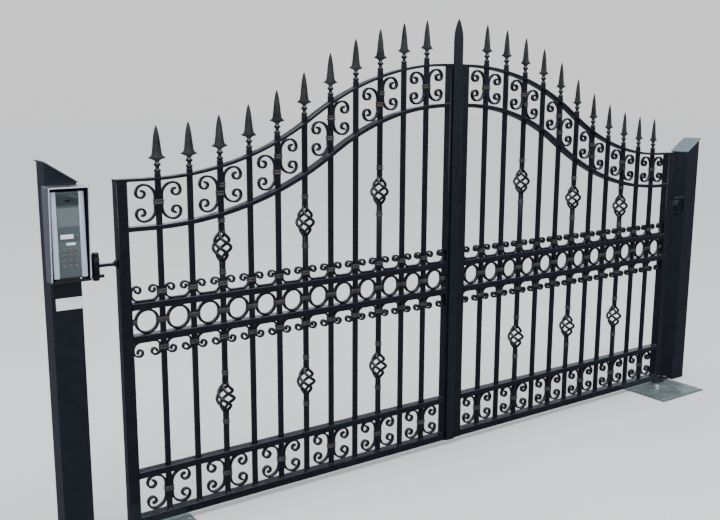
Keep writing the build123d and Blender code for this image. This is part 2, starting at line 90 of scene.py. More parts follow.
first_bar = hang_axis + end_pitch
bars_x = [first_bar + i * bar_pitch for i in range(bar_count)]
rings_x = [first_bar + (i - 0.5) * bar_pitch for i in range(bar_count + 1)]
basket_x = bars_x[2::3]
last_bar = bars_x[-1]
meet_axis = last_bar + end_pitch
hang_inner = hang_axis + stile / 2
meet_inner = meet_axis - stile / 2
swan_start = hang_axis + swan_level
swan_run = meet_inner - swan_start
swan_radius = (swan_run ** 2 + swan_rise ** 2) / (4 * swan_rise)
swan_angle = math.asin(swan_run / 2 / swan_radius)

# Ornament; a curl is given as the falling radii of quarter turns along the middle of its strip
steps_per_quarter = 10
scroll_turns = [42 * mm, 27 * mm, 17 * mm, 14 * mm, 9 * mm, 6 * mm]
scroll_half = 63 * mm
scroll_quarters = 5.5
scroll_gap = 1 * mm
scroll_lean = 0.75 * (scroll_turns[0] + scroll_turns[1] + strip) - scroll_gap
scroll_drop = scroll_half + strip / 2 + scroll_gap
crest_turns = [21 * mm, 13 * mm, 10 * mm, 8.5 * mm, 6 * mm]
crest_height = 57 * mm
crest_top = crest_height - crest_strip / 2
crest_corner = 26.5 * mm
crest_quarters = 4.5
basket_height = 114 * mm
basket_radius = 33 * mm
basket_turn = math.radians(280)
strand_radius = 6 * mm

# Collars; an edge is pairs of height and thickness, as shares, from a collar's rim to its middle
collar_height = 18 * mm
collar_thick = 3 * mm
collar_corner = 1.5 * mm
crest_collar_height = 17 * mm
crest_collar_thick = 2.6 * mm
crest_collar_rise = 30.5 * mm
basket_collar_offset = 95 * mm
flat_edge = [(-1.0, 0.4), (-0.93, 0.8), (-0.82, 1.0)]
bead_edge = [(-1.0, 0.25), (-0.92, 0.75), (-0.74, 1.0), (-0.52, 1.05), (-0.32, 0.9), (-0.16, 0.45)]
bead_waist = [(0.0, 0.3)]

leaf_sides = {"left": 1, "right": -1}
hinges = {joint["child"].removesuffix("_leaf"): Vector(joint["pos_m"]) for joint in frame["joints"]}
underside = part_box("left_hanging_stile")[0].z


class Shape:
    """Points and faces gathered for one piece, in a leaf's or the gate's own frame."""

    def __init__(self):
        self.points = []
        self.faces = []

    def add(self, points, faces):
        base = len(self.points)
        self.points.extend(points)
        self.faces.extend([tuple(base + i for i in face) for face in faces])

    def skin(self, rows, closed=False):
        """Joins rings of points into a skin; an open run gets end caps."""
        count = len(rows[0])
        last = (len(rows) - 1) * count
        faces = []
        for i in range(len(rows) if closed else len(rows) - 1):
            a = i * count
            b = (i + 1) % len(rows) * count
            faces.extend([(a + k, a + (k + 1) % count, b + (k + 1) % count, b + k) for k in range(count)])
        if not closed:
            faces.append(tuple(range(count))[::-1])
            faces.append(tuple(range(last, last + count)))
        self.add([p for row in rows for p in row], faces)


def leaf_place(side):
    """Leaf frame to gate frame; the right leaf is mirrored."""
    place = Matrix.Translation(hinges[side] + Vector((0, 0, underside)))
    return place @ Matrix.Diagonal((leaf_sides[side], 1, 1, 1))


def make_piece(name, shape, place, body, slot, smooth=35, replaces=(), material=None):
    """A piece on its body, in its slot's material if no other is given; smooth is in degrees."""
    mesh = bpy.data.meshes.new(name)
    mesh.from_pydata([place @ Vector(p) for p in shape.points], [], shape.faces)
    solid = bmesh.new()
    solid.from_mesh(mesh)
    bmesh.ops.recalc_face_normals(solid, faces=solid.faces)
    solid.to_mesh(mesh)
    solid.free()
    mesh.shade_smooth()
    mesh.set_sharp_from_angle(angle=math.radians(smooth))
    piece = bpy.data.objects.new(name, mesh)
    bpy.context.scene.collection.objects.link(piece)
    mesh.materials.append(material or slot_materials[slot])
    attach(piece, body)
    if replaces:
        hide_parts(*replaces)


def rounded_section(half_a, half_b, corner, steps=2):
    """A rectangle's outline with rounded corners, as pairs of offsets."""
    outline = []
    for quarter, (sa, sb) in enumerate(((1, 1), (-1, 1), (-1, -1), (1, -1))):
        for step in range(steps + 1):
            angle = math.radians(90 * quarter + 90 * step / steps)
            a = sa * (half_a - corner) + corner * math.cos(angle)
            b = sb * (half_b - corner) + corner * math.sin(angle)
            outline.append((a, b))
    return outline


def ellipse(centre, axis_a, axis_b, count):
    """Points round an ellipse, from its centre and its two half axes."""
    angles = [2 * math.pi * k / count for k in range(count)]
    return [centre + math.cos(a) * axis_a + math.sin(a) * axis_b for a in angles]


def turned(shape, profile, origin, along, segments):
    """Turns pairs of radius and distance, both in mm, about an axis through origin."""
    along = Vector(along)
    across = along.orthogonal().normalized()
    third = along.cross(across)
    rows = []
    for radius, distance in profile:
        centre = Vector(origin) + along * distance * mm
        rows.append(ellipse(centre, radius * mm * across, radius * mm * third, segments))
    shape.skin(rows)


def quarter_turns(x, z, heading, turn, radii, quarters):
    """Points along tangent arcs from x, z; turn is +1 for anticlockwise."""
    points = []
    for k, radius in enumerate(radii):
        share = min(1.0, quarters - k)
        if share <= 0:
            break
        cx = x - turn * radius * math.sin(heading)
        cz = z + turn * radius * math.cos(heading)
        steps = max(2, round(steps_per_quarter * share))
        for step in range(1, steps + 1):
            angle = heading + turn * share * math.pi / 2 * step / steps
            points.append((cx + turn * radius * math.sin(angle), cz - turn * radius * math.cos(angle)))
        heading += turn * share * math.pi / 2
        x, z = points[-1]
    return points


def strip_rows(path, thickness, swell, swell_steps):
    """Rings of points along a path in the leaf's plane; both ends swell to a forged eye."""
    end_share = 0.55
    end_ease = 1.2 * mm
    rows = []
    last = len(path) - 1
    for i, (x, z) in enumerate(path):
        ax, az = path[max(i - 1, 0)]
        bx, bz = path[min(i + 1, last)]
        size = math.hypot(bx - ax, bz - az)
        nx, nz = -(bz - az) / size, (bx - ax) / size
        from_end = min(i, last - i)
        near_end = max(0.0, 1 - from_end / swell_steps)
        half = (thickness + swell * near_end ** 1.5) / 2
        half_depth = strip_depth / 2
        if from_end == 0:
            half *= end_share
            half_depth -= end_ease
        section = rounded_section(half, half_depth, min(strip_corner, half * 0.9))
        rows.append([(x + nx * a, b, z + nz * a) for a, b in section])
    return rows


def swan_z(x, offset):
    """Height of a line that keeps its distance below the middle of the top rail."""
    if x <= swan_start:
        return top_rail_low - offset
    if x >= meet_inner:
        return top_rail_low + swan_rise - offset
    low_radius = swan_radius + offset
    if x <= swan_start + low_radius * math.sin(swan_angle):
        return top_rail_low + swan_radius - math.sqrt(low_radius ** 2 - (x - swan_start) ** 2)
    high_radius = swan_radius - offset
    return top_rail_low + swan_rise - swan_radius + math.sqrt(high_radius ** 2 - (meet_inner - x) ** 2)


def bar_top(x):
    """Where a bar ends above the top rail and its spearhead begins, as in the frame."""
    return swan_z(x + frame_bar / 2, -top_rail_thickness / 2) + spear_foot


def c_scroll(x_back, side, z):
    """Centre line of a C whose back lies on a bar at x_back; side is the way it opens."""
    start = scroll_half - scroll_turns[0]
    arm = quarter_turns(0.0, start, math.pi / 2, -1, scroll_turns, scroll_quarters)
    upper = [(0.0, 0.0), (0.0, start)] + arm
    path = [(u, -v) for u, v in upper[:0:-1]] + upper
    return [(x_back + side * (strip / 2 + u), z + v) for u, v in path]


def crest_scroll(x0, x1, z, up):
    """Centre line of a flat U with curled ends, standing on a rail or hanging under it."""
    half = (x1 - x0 - crest_strip) / 2
    low = crest_strip / 2
    corner = quarter_turns(half - crest_corner, low, 0.0, 1, [crest_corner], 1)
    side_top = crest_top - crest_turns[0]
    curl = quarter_turns(half, side_top, math.pi / 2, 1, crest_turns, crest_quarters)
    right = [(0.0, low), (half - crest_corner, low)] + corner + curl
    path = [(-u, v) for u, v in right[:0:-1]] + right
    return [((x0 + x1) / 2 + u, z + up * v) for u, v in path]


def scroll_layout():
    """Where each C stands: its back's place and the way it opens, on every second bar."""
    layout = []
    for x in bars_x[::2]:
        layout.append((x - bar / 2, -1))
        layout.append((x + bar / 2, 1))
    return layout


def scroll_mid(x_back, side):
    """Middle height of a C between the swan-necked rails, taken at three quarters of its reach."""
    x = x_back + side * scroll_lean
    high = swan_z(x, top_rail_thickness / 2)
    low = swan_z(x, scroll_rail_offset - scroll_rail_thickness / 2)
    return (high + low) / 2


def scrolls(paths, thickness, swell, swell_steps):
    shape = Shape()
    for path in paths:
        shape.skin(strip_rows(path, thickness, swell, swell_steps))
    return shape


def top_scrolls():
    paths = [c_scroll(x, side, scroll_mid(x, side)) for x, side in scroll_layout()]
    return scrolls(paths, forged_strip, swell=4 * mm, swell_steps=9)


def bottom_scrolls():
    middle = band_rail_under - scroll_drop
    paths = [c_scroll(x, side, middle) for x, side in scroll_layout()]
    return scrolls(paths, forged_strip, swell=4 * mm, swell_steps=9)


def crest_scrolls():
    """Two in each gap between uprights: one on the upper middle rail, one under the lower."""
    uprights = [hang_axis] + bars_x + [meet_axis]
    halves = [stile / 2] + [bar / 2] * bar_count + [stile / 2]
    paths = []
    for i in range(bar_count + 1):
        x0 = uprights[i] + halves[i]
        x1 = uprights[i + 1] - halves[i + 1]
        paths.append(crest_scroll(x0, x1, upper_mid_top, 1))
        paths.append(crest_scroll(x0, x1, lower_mid_under, -1))
    return scrolls(paths, forged_crest, swell=2.5 * mm, swell_steps=6)


def rings():
    shape = Shape()
    steps = 64
    middle = ring_radius - forged_ring / 2
    section = rounded_section(forged_ring / 2, strip_depth / 2, strip_corner)
    for x in rings_x:
        rows = []
        for i in range(steps):
            angle = 2 * math.pi * i / steps
            ca, sa = math.cos(angle), math.sin(angle)
            rows.append([(x + (middle + a) * ca, b, ring_centre + (middle + a) * sa) for a, b in section])
        shape.skin(rows, closed=True)
    return shape


def plain_bars():
    """The bars without baskets, each in one length."""
    shape = Shape()
    square = rounded_section(bar / 2, bar / 2, bar_corner)
    for x in bars_x:
        if x not in basket_x:
            shape.skin([[(x + a, b, z) for a, b in square] for z in (bottom_rail_top, bar_top(x))])
    return shape


def basket_centres(x):
    """Middle heights of a bar's two baskets, each halfway between a rail and a crest scroll."""
    low = (band_rail_top + lower_mid_under - crest_height) / 2
    rail_under = swan_z(x, scroll_rail_offset + scroll_rail_thickness / 2)
    return low, (upper_mid_top + crest_height + rail_under) / 2


def strand_path(x, z, start_angle, hand):
    """Middle line of one strand: bowed and wound, its straight ends seated in the bar's tips."""
    steps = 48
    root = 7 * mm
    seat = 22 * mm
    end_length = 2 * mm
    path = []
    for i in range(steps + 1):
        t = -1 + 2 * i / steps
        bow = math.cos(math.pi / 2 * t) ** 1.25
        reach = root + (basket_radius - root) * bow
        angle = start_angle + hand * basket_turn / 2 * t
        height = z + t * basket_height / 2
        path.append(Vector((x + reach * math.cos(angle), reach * math.sin(angle), height)))
    for length in (seat, end_length):
        path.insert(0, path[0] - Vector((0, 0, length)))
        path.append(path[-1] + Vector((0, 0, length)))
    return path


def basket_strands(shape, x, z, hand):
    """Four round strands that wind about the bar's axis between its two cut ends."""
    end_share = 0.6
    for strand in range(4):
        path = strand_path(x, z, math.pi / 4 + strand * math.pi / 2, hand)
        last = len(path) - 1
        rows = []
        for i, centre in enumerate(path):
            along = (path[min(i + 1, last)] - path[max(i - 1, 0)]).normalized()
            outward = Vector((centre.x - x, centre.y, 0)).normalized()
            across = along.cross(outward).normalized()
            outward = across.cross(along)
            radius = strand_radius * (end_share if i in (0, last) else 1.0)
            rows.append(ellipse(centre, radius * outward, radius * across, 10))
        shape.skin(rows)


def basket_bars(hand):
    """Every third bar, in three lengths with a twisted basket between each two."""
    shape = Shape()
    half = basket_height / 2
    taper = 1.2 * mm
    square = rounded_section(bar / 2, bar / 2, bar_corner)
    tip = rounded_section(bar / 2 - taper, bar / 2 - taper, 3.5 * mm)
    plain_end = (1 * mm, square)
    cut_end = (6 * mm, tip)
    for x in basket_x:
        low, high = basket_centres(x)
        cuts = [bottom_rail_top, low - half, low + half, high - half, high + half, bar_top(x)]
        for k in (0, 2, 4):
            foot, foot_ring = plain_end if k == 0 else cut_end
            head, head_ring = plain_end if k == 4 else cut_end
            stops = [(cuts[k], foot_ring), (cuts[k] + foot, square)]
            stops += [(cuts[k + 1] - head, square), (cuts[k + 1], head_ring)]
            shape.skin([[(x + a, b, at) for a, b in ring] for at, ring in stops])
        basket_strands(shape, x, low, hand)
        basket_strands(shape, x, high, hand)
    return shape


def spear_neck(shape, x, z):
    """Square foot and two turned knops, painted with the bar; all sizes in mm."""
    foot = [(9.0, 0.0), (9.0, 1.5), (7.2, 4.0), (6.6, 5.0)]
    rows = []
    for half, at in foot:
        square = rounded_section(half * mm, half * mm, bar_corner, 3)
        rows.append([(x + a, b, z + at * mm) for a, b in square])
    shape.skin(rows)
    knops = [(6.4, 2.0), (7.2, 3.5), (10.4, 5.0), (12.3, 7.0), (12.6, 9.5), (11.8, 12.0)]
    knops += [(9.6, 14.2), (7.4, 15.8), (6.8, 18.5), (7.2, 24.0), (9.8, 25.6), (12.0, 27.6)]
    knops += [(12.6, 30.2), (12.0, 32.8), (9.8, 35.2), (7.6, 36.8), (6.9, 39.0), (6.9, 44.0)]
    turned(shape, knops, (x, 0.0, z), upward, 24)


def spear_blade(shape, x, z):
    """A forged blade from stations of height, half width and half thickness at ridge and edge, in mm."""
    blade = [(38.0, 6.0, 6.0, 5.0), (42.0, 8.0, 7.4, 5.0), (45.5, 12.5, 8.0, 3.6), (48.5, 20.0, 8.2, 2.4)]
    blade += [(50.5, 27.5, 8.3, 1.7), (52.5, 31.6, 8.4, 1.4), (54.5, 32.0, 8.5, 1.4)]
    blade += [(56.0, 28.0, 8.5, 1.6), (58.5, 23.5, 8.5, 1.9), (62.0, 20.5, 8.4, 2.0)]
    blade += [(67.0, 18.6, 8.2, 2.0), (80.0, 16.6, 7.8, 2.0), (100.0, 14.4, 7.0, 1.9)]
    blade += [(119.0, 12.0, 6.2, 1.7), (135.0, 9.4, 5.0, 1.5), (148.0, 6.4, 3.8, 1.3)]
    blade += [(157.0, 3.4, 2.4, 1.0), (161.5, 1.6, 1.5, 0.8), (163.0, 0.6, 0.6, 0.4)]
    rows = []
    for at, wide, ridge, edge in blade:
        quarter = [(0.0, ridge), (wide * 0.16, ridge * 0.8), (wide * 0.45, ridge * 0.36 + edge * 0.32)]
        quarter += [(wide * 0.8, edge * 0.95), (wide, edge * 0.45)]
        right = quarter + [(a, -b) for a, b in quarter[::-1]]
        outline = right + [(-a, b) for a, b in right[-2:0:-1]]
        rows.append([(x + a * mm, b * mm, z + at * mm) for a, b in outline])
    shape.skin(rows)


def along_bars(build):
    """One of the same form on the top of every bar."""
    shape = Shape()
    for x in bars_x:
        build(shape, x, bar_top(x))
    return shape


def band_profile(edge, height, thick, waist=()):
    """Heights and thicknesses up a band, mirrored about its middle and closed inside the bar."""
    root = -0.3 * mm
    half = height / 2
    above = [(-h, t) for h, t in edge[::-1]]
    profile = [(h * half, t * thick) for h, t in [*edge, *waist, *above]]
    return profile + [(half, root), (-half, root)]


def band(shape, x0, x1, z, profile):
    """A moulded band all the way round bar and strips."""
    middle = (x0 + x1) / 2
    outline = rounded_section((x1 - x0) / 2, strip_depth / 2, collar_corner, 3)
    rows = []
    for i, (a, b) in enumerate(outline):
        before = outline[i - 1]
        after = outline[(i + 1) % len(outline)]
        na, nb = after[1] - before[1], before[0] - after[0]
        size = math.hypot(na, nb)
        na, nb = na / size, nb / size
        rows.append([(middle + a + na * t, b + nb * t, z + h) for h, t in profile])
    shape.skin(rows, closed=True)


def open_band(shape, x_open, x_end, z, profile):
    """The same band on three sides only: both legs end at x_open, bent round at x_end."""
    way = 1 if x_end > x_open else -1
    half = strip_depth / 2
    front = [(x_open, half, 0.0, 1.0)]
    for degrees in (0, 30, 60, 90):
        nx, ny = way * math.sin(math.radians(degrees)), math.cos(math.radians(degrees))
        x = x_end + collar_corner * (nx - way)
        y = half + collar_corner * (ny - 1)
        front.append((x, y, nx, ny))
    outline = front + [(x, -y, nx, -ny) for x, y, nx, ny in front[::-1]]
    rows = [[(x + nx * t, y + ny * t, z + h) for h, t in profile] for x, y, nx, ny in outline]
    shape.skin(rows)


def scroll_collars(shape, profile):
    """One collar where both backs lie side by side, or else one round each back."""
    for x in bars_x[::2]:
        left_face, right_face = x - bar / 2, x + bar / 2
        low = scroll_mid(left_face, -1)
        high = scroll_mid(right_face, 1)
        apart = high - low
        band(shape, left_face - strip, right_face + strip, band_rail_under - scroll_drop, profile)
        if apart <= collar_height + strip:
            band(shape, left_face - strip, right_face + strip, (low + high) / 2, profile)
        elif apart < scroll_turns[0] + collar_height / 2:
            open_band(shape, right_face, left_face - strip, low, profile)
            open_band(shape, left_face, right_face + strip, high, profile)
        else:
            band(shape, left_face - strip, right_face, low, profile)
            band(shape, left_face, right_face + strip, high, profile)


def collars():
    """Clasps between the rings, and beaded collars on scrolls, crest scrolls and basket bars."""
    shape = Shape()
    clasp = band_profile(flat_edge, collar_height, collar_thick)
    bead = band_profile(bead_edge, collar_height, collar_thick, bead_waist)
    crest_bead = band_profile(bead_edge, crest_collar_height, crest_collar_thick, bead_waist)
    reach = bar_pitch / 2 - ring_radius + strip
    crest_reach = bar / 2 + crest_strip + 1.2 * mm
    for x in bars_x:
        band(shape, x - reach, x + reach, ring_centre, clasp)
        for z in (upper_mid_top + crest_collar_rise, lower_mid_under - crest_collar_rise):
            band(shape, x - crest_reach, x + crest_reach, z, crest_bead)
    open_band(shape, hang_inner, first_bar - bar_pitch + reach, ring_centre, clasp)
    open_band(shape, meet_inner, last_bar + bar_pitch - reach, ring_centre, clasp)
    scroll_collars(shape, bead)
    for x in basket_x:
        for centre in basket_centres(x):
            for z in (centre - basket_collar_offset, centre + basket_collar_offset):
                band(shape, x - bar / 2, x + bar / 2, z, bead)
    return shape


def weld_bead(shape, start, end, side_a, side_b, size=3.4 * mm):
    """A rippled fillet of weld in the corner between two faces."""
    ripple = 2.2 * mm
    ripple_share = 0.14
    end_share = 0.45
    root_share = 0.15
    crown_share = 0.66
    start, end = Vector(start), Vector(end)
    along = end - start
    steps = max(4, round(along.length / ripple))
    rows = []
    for i in range(steps + 1):
        swell = size * (1 - ripple_share + ripple_share * math.cos(math.pi * i))
        if i in (0, steps):
            swell *= end_share
        corner = start + along * (i / steps)
        a, b = Vector(side_a) * swell, Vector(side_b) * swell
        both = a + b
        rows.append([corner - root_share * both, corner + a, corner + crown_share * both, corner + b])
    shape.skin(rows)


def rail_welds(shape):
    """Where the rails meet the stiles, above and below each rail end."""
    reach = stile / 2 - 3 * mm
    half_scroll_rail = scroll_rail_thickness / 2
    middle_rails = [band_rail_under, lower_mid_under, upper_mid_under]
    for x, way in ((hang_inner, 1), (meet_inner, -1)):
        scroll_middle = swan_z(x, scroll_rail_offset)
        tops = [bottom_rail_top, scroll_middle + half_scroll_rail]
        tops += [z + rail_height for z in middle_rails]
        unders = middle_rails + [scroll_middle - half_scroll_rail, swan_z(x, top_rail_thickness / 2)]
        for z, up in [(z, upward) for z in tops] + [(z, downward) for z in unders]:
            weld_bead(shape, (x, -reach, z), (x, reach, z), (way, 0, 0), up)


def bar_welds(shape):
    """Round the foot of every bar."""
    half = bar / 2
    reach = half - 1.5 * mm
    size = 2.6 * mm
    z = bottom_rail_top
    for x in bars_x:
        for way in (-1, 1):
            face = x + way * half
            weld_bead(shape, (face, -reach, z), (face, reach, z), (way, 0, 0), upward, size)
            face = way * half
            weld_bead(shape, (x - reach, face, z), (x + reach, face, z), (0, way, 0), upward, size)


def eye_welds(shape):
    """Over and under the hinge eye's arm, where it meets the hanging stile."""
    low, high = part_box("left_hinge_eye")
    middle = (low.z + high.z) / 2 - underside
    arm_half = 15 * mm
    reach = 7 * mm
    x = hang_axis - stile / 2
    for up in (1, -1):
        z = middle + up * arm_half
        weld_bead(shape, (x, -reach, z), (x, reach, z), (-1, 0, 0), (0, 0, up))


def leaf_welds():
    shape = Shape()
    rail_welds(shape)
    bar_welds(shape)
    eye_welds(shape)
    return shape


def tablet(shape, across, up, depth, corner=1.0 * mm, chamfer=0.5 * mm):
    """A plate facing the street; across, up and depth are pairs: left, right; low, high; back, front."""
    half_a, half_b = (across[1] - across[0]) / 2, (up[1] - up[0]) / 2
    middle_x, middle_z = (across[0] + across[1]) / 2, (up[0] + up[1]) / 2
    back, front = depth
    steps = [(back, 0.0), (front + chamfer, 0.0), (front + 0.3 * chamfer, 0.3 * chamfer), (front, chamfer)]
    rows = []
    for y, inset in steps:
        outline = rounded_section(half_a - inset, half_b - inset, max(corner - inset, 0.2 * mm), 3)
        rows.append([(middle_x + a, y, middle_z + b) for a, b in outline])
    shape.skin(rows)


def button_screw(shape, place, radius):
    """A domed head with a socket, facing the street; radius in mm."""
    socket = radius * 0.42
    dome = [(radius, 0.0), (radius, 0.4), (radius * 0.86, 1.1), (radius * 0.6, 1.6)]
    turned(shape, dome + [(socket, 1.7), (socket, 0.7)], place, street, 18)


# Tools for materials
def node_material(name):
    material = bpy.data.materials.new(name)
    material.use_nodes = True
    return material, material.node_tree, material.node_tree.nodes["Principled BSDF"]


def put(tree, node, inputs):
    """Sets a node's inputs, or links them where another node's socket is given."""
    for name, value in inputs.items():
        if isinstance(value, bpy.types.NodeSocket):
            tree.links.new(value, node.inputs[name])
        else:
            node.inputs[name].default_value = value


def add(tree, kind, inputs=None):
    node = tree.nodes.new("ShaderNode" + kind)
    put(tree, node, inputs or {})
    return node


def noise(tree, coords, scale, detail=4.0):
    texture = add(tree, "TexNoise", {"Vector": coords, "Scale": scale, "Detail": detail, "Roughness": 0.55})
    return texture.outputs["Fac"]


def ramp(tree, value, stops):
    """A colour ramp from pairs of position and colour."""
    node = add(tree, "ValToRGB", {"Fac": value})
    elements = node.color_ramp.elements
    while len(elements) < len(stops):
        elements.new(0.5)
    for element, (place, colour) in zip(elements, stops):
        element.position = place
        element.color = (*colour, 1.0)
    return node.outputs["Color"]


def grey_ramp(tree, value, low, high):
    """Spreads the middle of a noise's range over low to high."""
    ends = {"From Min": 0.3, "From Max": 0.7, "To Min": low, "To Max": high}
    return add(tree, "MapRange", {"Value": value, **ends}).outputs["Result"]


def bump(tree, height, strength, distance, before=None):
    node = add(tree, "Bump", {"Height": height, "Strength": strength, "Distance": distance})
    if before is not None:
        put(tree, node, {"Normal": before})
    return node.outputs["Normal"]


def painted(name, dark, light, rough, coat=0.0, metallic=0.0, peel=0.12, dents=0.2):
    """Brushed-on enamel: mottled colour, uneven gloss, orange peel and faint hammer marks."""
    material, tree, shader = node_material(name)
    coords = add(tree, "TexCoord").outputs["Object"]
    broad = noise(tree, coords, 60.0, 3.0)
    colour = ramp(tree, noise(tree, coords, 22.0), [(0.32, dark), (0.68, light)])
    hammered = bump(tree, broad, dents, 0.6 * mm)
    peeled = bump(tree, noise(tree, coords, 900.0, 2.0), peel, 0.15 * mm, hammered)
    put(tree, shader, {"Base Color": colour, "Roughness": grey_ramp(tree, broad, *rough), "Normal": peeled})
    put(tree, shader, {"Metallic": metallic, "Specular IOR Level": 0.35})
    put(tree, shader, {"Coat Weight": coat, "Coat Roughness": 0.1})
    return material


def brushed(name, dark, light, rough, metallic=1.0, stretch=(4.0, 4.0, 400.0)):
    """Metal with fine parallel grain, crowded along the axis that is stretched most."""
    material, tree, shader = node_material(name)
    coords = add(tree, "TexCoord").outputs["Object"]
    stretched = add(tree, "Mapping", {"Vector": coords, "Scale": stretch}).outputs["Vector"]
    lines = add(tree, "TexNoise", {"Vector": stretched, "Scale": 6.0, "Detail": 3.0}).outputs["Fac"]
    colour = ramp(tree, lines, [(0.3, dark), (0.7, light)])
    roughness = grey_ramp(tree, lines, rough, rough + 0.12)
    grain = bump(tree, lines, 0.08, 0.1 * mm)
    put(tree, shader, {"Base Color": colour, "Roughness": roughness, "Normal": grain, "Metallic": metallic})
    return material


# One function for each material
def iron_enamel():
    dark, light = (0.0022, 0.0032, 0.0062), (0.0045, 0.006, 0.0105)
    return painted("iron_enamel", dark, light, (0.2, 0.33), coat=0.3, peel=0.04, dents=0.09)


def strip_enamel():
    dark, light = (0.0035, 0.0048, 0.0085), (0.0065, 0.0085, 0.0135)
    return painted("strip_enamel", dark, light, (0.22, 0.38), coat=0.25, peel=0.04, dents=0.09)


def spear_patina():
    dark, light = (0.012, 0.013, 0.013), (0.036, 0.038, 0.036)
    return painted("spear_patina", dark, light, (0.30, 0.52), metallic=0.35, peel=0.2, dents=0.5)


def collar_pewter():
    dark, light = (0.040, 0.035, 0.036), (0.085, 0.076, 0.077)
    return painted("collar_pewter", dark, light, (0.28, 0.48), metallic=0.5, peel=0.2, dents=0.4)


def post_enamel():
    dark, light = (0.0040, 0.0050, 0.0095), (0.0065, 0.0085, 0.015)
    return painted("post_enamel", dark, light, (0.28, 0.42), coat=0.2, peel=0.1, dents=0.08)


def cap_enamel_and_sky_sheen():
    """Blue-grey gloss: the enamel's own dark blue-grey lightened by a painted reflection of the sky on the
    slanting lids.
    """
    # Both colours are lighter and bluer than the enamel itself: painted sky reflection.
    dark, light = (0.036, 0.078, 0.098), (0.058, 0.108, 0.130)
    return painted("cap_enamel_and_sky_sheen", dark, light, (0.14, 0.28), coat=0.6, metallic=0.2, peel=0.08, dents=0.08)


def galvanised():
    """Zinc spangle with dull weathered patches."""
    material, tree, shader = node_material("galvanised")
    coords = add(tree, "TexCoord").outputs["Object"]
    spangle = add(tree, "TexVoronoi", {"Vector": coords, "Scale": 90.0}).outputs["Color"]
    colour = ramp(tree, spangle, [(0.2, (0.23, 0.295, 0.29)), (0.8, (0.30, 0.365, 0.36))])
    patches = noise(tree, coords, 14.0)
    roughness = grey_ramp(tree, patches, 0.3, 0.6)
    relief = bump(tree, patches, 0.15, 0.4 * mm)
    put(tree, shader, {"Base Color": colour, "Roughness": roughness, "Normal": relief, "Metallic": 0.75})
    return material


def hood_stainless():
    return brushed("hood_stainless", (0.42, 0.45, 0.49), (0.60, 0.63, 0.67), 0.26)


def panel_anodised():
    return brushed("panel_anodised", (0.085, 0.115, 0.122), (0.12, 0.155, 0.163), 0.42, metallic=0.45)


def camera_plastic():
    return painted("camera_window", (0.026, 0.038, 0.042), (0.040, 0.054, 0.058), (0.12, 0.22), coat=0.4)


def key_steel():
    return brushed("key_steel", (0.13, 0.135, 0.13), (0.19, 0.185, 0.175), 0.4, metallic=0.45)


def rail_aluminium():
    return brushed("rail_aluminium", (0.50, 0.56, 0.70), (0.66, 0.72, 0.86), 0.3, metallic=0.35)


def speaker_steel():
    dark, light = (0.135, 0.17, 0.178), (0.18, 0.215, 0.222)
    return brushed("speaker_plate", dark, light, 0.42, metallic=0.4, stretch=(400.0, 4.0, 4.0))


def lens_glass():
    dark, light = (0.004, 0.005, 0.007), (0.008, 0.009, 0.012)
    return painted("lens_glass", dark, light, (0.03, 0.06), coat=1.0, peel=0.02, dents=0.0)


def dark_rubber_and_shade():
    # Real dark rubber on the digits and the panel's foot; on the sheet inside the hood it is painted shade.
    return painted("dark_rubber_and_shade", (0.006, 0.007, 0.009), (0.012, 0.013, 0.016), (0.45, 0.65), peel=0.3)


def white_plate():
    dark, light = (0.70, 0.73, 0.80), (0.80, 0.82, 0.88)
    return painted("blank_plate", dark, light, (0.3, 0.45), coat=0.1, peel=0.06, dents=0.05)


slot_materials = {
    "iron_paint": iron_enamel(),
    "strip_paint": strip_enamel(),
    "spear_paint": spear_patina(),
    "collar_paint": collar_pewter(),
    "post_paint": post_enamel(),
    "post_cap_paint": cap_enamel_and_sky_sheen(),
    "galvanised_plate": galvanised(),
    "hood_steel": hood_stainless(),
    "panel_aluminium": panel_anodised(),
    "camera_plastic": camera_plastic(),
    "key_steel": key_steel(),
}
bright_metal = rail_aluminium()
rubber_and_shade = dark_rubber_and_shade()


def paint_frame():
    """Each node of the frame gets the material of its slot."""
    for part in frame["record"]["subparts"]:
        node = frame["nodes"][part["node"]]
        node.data.materials.clear()
        node.data.materials.append(slot_materials[part["material_slot"]])


def ease_edges(names, width):
    """Takes the knife edge off plates and flats that are shown as the frame gives them."""
    for name in names:
        node = frame["nodes"][name]
        weld = node.modifiers.new("join_faces", "WELD")
        weld.merge_threshold = 0.01 * mm
        bevel = node.modifiers.new("eased_edges", "BEVEL")
        bevel.width = width
        bevel.segments = 2
        bevel.limit_method = "ANGLE"
        bevel.angle_limit = math.radians(40)


def ease_frame():
    """Rolled sections are rounder than flats, and flats than folded sheet."""
    rolled = ["_straight_rails", "_scroll_rail", "_hanging_stile", "_meeting_stile"]
    flats = ["_top_rail", "_hinge_bracket", "_heel_arm", "_hinge_eye"]
    sheets = ["_post_cap", "_operator_plate"]
    for side in leaf_sides:
        ease_edges([side + what for what in rolled], 1.4 * mm)
        ease_edges([side + what for what in flats], 0.9 * mm)
        ease_edges([side + what for what in sheets], 0.7 * mm)
    ease_edges(["cover_strip"], 1.2 * mm)
    ease_edges(["intercom_hood"], 0.8 * mm)


